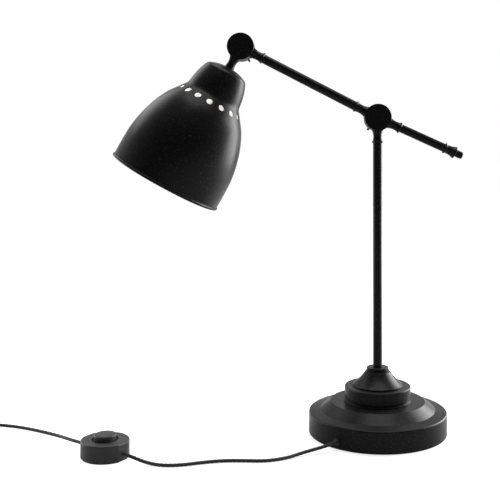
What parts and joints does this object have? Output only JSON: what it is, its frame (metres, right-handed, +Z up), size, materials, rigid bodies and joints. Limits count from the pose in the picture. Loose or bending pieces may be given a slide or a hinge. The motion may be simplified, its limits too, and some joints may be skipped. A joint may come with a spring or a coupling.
{
  "type": "desk lamp",
  "caption": "Desk lamp with a stepped round base, upright pole, counterweighted jointed arm, vented bell shade and a foot switch on its coiled mains cord.",
  "frame": {"origin": "centre of the base's underside, on the pole's axis, where the lamp stands on the desk", "axes": "+Z up along the pole, +X to the right of the picture's view, so that the shade hangs towards -X and the short rear rod points to +X, +Y away from the viewer, along the axes of both arm joints"},
  "size_m": [0.8186, 0.2196, 0.5217],
  "materials": {
    "black_paint": "satin",
    "black_solid": "satin",
    "cast_iron": "matt",
    "felt_pad": "matt",
    "zinc_steel": "satin",
    "brass": "polished",
    "black_plastic": "matt",
    "white_plastic": "satin",
    "white_ceramic": "matt",
    "switch_grey": "matt",
    "cord_black": "matt"
  },
  "bodies": {
    "stand": {"base_shell": "black_paint", "base_weight": "cast_iron", "base_pad": "felt_pad", "upper_tier": "black_paint", "base_cone": "black_paint", "stem_collar": "black_paint", "base_stem": "zinc_steel", "stem_washer": "zinc_steel", "stem_nut": "zinc_steel", "cord_bush": "black_plastic", "cord_clamp": "zinc_steel", "clamp_screws": "zinc_steel", "base_lead": "cord_black", "pole": "black_paint", "elbow_rear_half": "black_paint", "elbow_spring_washer": "zinc_steel", "cord_to_switch": "cord_black", "switch_base": "switch_grey", "switch_cover": "switch_grey", "switch_spring": "zinc_steel", "switch_terminals": "brass", "switch_screws": "zinc_steel", "cord_to_coil": "cord_black", "cord_coil": "cord_black", "cord_to_plug": "cord_black", "plug_body": "black_plastic", "plug_pins": "brass"},
    "arm": {"elbow_front_half": "black_paint", "elbow_stud": "zinc_steel", "elbow_friction_washer": "black_plastic", "front_arm": "black_paint", "rear_rod": "black_solid", "rod_finial": "black_paint", "head_rear_half": "black_paint", "head_spring_washer": "zinc_steel", "arm_lead": "cord_black"},
    "head": {"head_front_half": "black_paint", "head_stud": "zinc_steel", "head_friction_washer": "black_plastic", "shade_crown": "black_paint", "shade": "black_paint", "shade_washer": "zinc_steel", "shade_nut": "zinc_steel", "holder_cap": "white_plastic", "holder_body": "white_plastic", "holder_insert": "white_ceramic", "screw_shell": "brass", "centre_contact": "brass", "terminal_screws": "zinc_steel", "head_lead": "cord_black"},
    "elbow_knob": {"elbow_knob": "black_paint"},
    "head_knob": {"head_knob": "black_paint"},
    "switch_button": {"switch_button": "switch_grey"}
  },
  "joints": [
    {"name": "elbow_hinge", "type": "hinge", "parent": "stand", "child": "arm", "pos_m": [0, 0, 0.4114], "axis": [0, 1, 0], "range_deg": [-35, 12]},
    {"name": "head_hinge", "type": "hinge", "parent": "arm", "child": "head", "pos_m": [-0.1795, 0, 0.50405], "axis": [0, -1, 0], "range_deg": [-75, 30]},
    {"name": "elbow_knob_turn", "type": "hinge", "parent": "arm", "child": "elbow_knob", "pos_m": [0, 0, 0.4114], "axis": [0, 1, 0], "range_deg": [0, 360]},
    {"name": "head_knob_turn", "type": "hinge", "parent": "head", "child": "head_knob", "pos_m": [-0.1795, 0, 0.50405], "axis": [0, 1, 0], "range_deg": [0, 360]},
    {"name": "switch_press", "type": "slide", "parent": "stand", "child": "switch_button", "axis": [0, 0, -1], "range_m": [0, 0.003], "stiffness_N_per_m": 800, "deforming": ["switch_spring"]}
  ]
}
